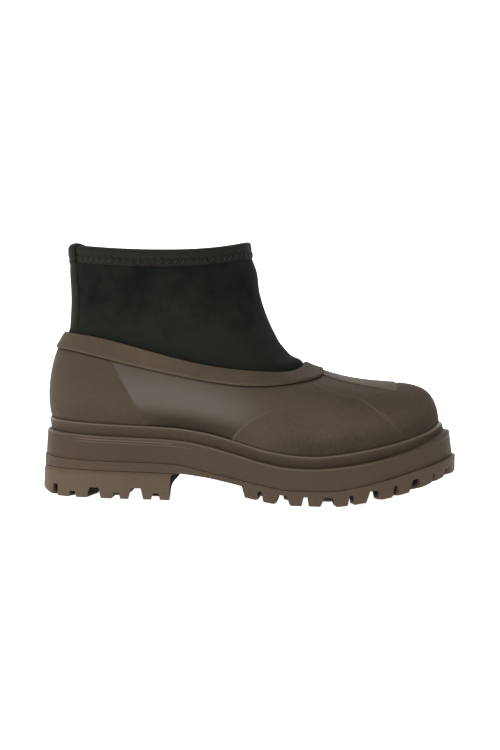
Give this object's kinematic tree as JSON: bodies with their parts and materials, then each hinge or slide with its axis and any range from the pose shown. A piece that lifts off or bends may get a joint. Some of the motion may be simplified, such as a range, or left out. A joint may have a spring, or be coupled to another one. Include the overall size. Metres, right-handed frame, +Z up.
{
  "type": "winter boot",
  "caption": "Pull-on ankle winter boot with a brown moulded rubber shell, dark neoprene shaft and a thick lugged platform sole.",
  "frame": {"origin": "middle of the boot's bounding box, on the floor plane that the heel and forefoot lugs stand on", "axes": "+X towards the toe, +Y towards the inner side of the foot, +Z up"},
  "size_m": [0.287, 0.11, 0.1785],
  "materials": {
    "shell_rubber": "satin with grained matte panels",
    "sole_rubber": "matte",
    "neoprene": "matte knit",
    "tape": "matte woven",
    "footbed": "matte"
  },
  "bodies": {
    "root": {"outsole": "sole_rubber", "heel": "sole_rubber", "midsole": "sole_rubber", "welt": "sole_rubber", "insole": "footbed", "upper": "shell_rubber", "heel_counter": "shell_rubber", "toe_cap": "shell_rubber", "wing_outer": "shell_rubber", "wing_inner": "shell_rubber", "vamp_strip": "shell_rubber", "vamp_seam_outer": "shell_rubber", "vamp_seam_inner": "shell_rubber", "top_band": "shell_rubber", "shaft": "neoprene", "collar_binding": "tape", "heel_tape": "tape"}
  },
  "joints": []
}
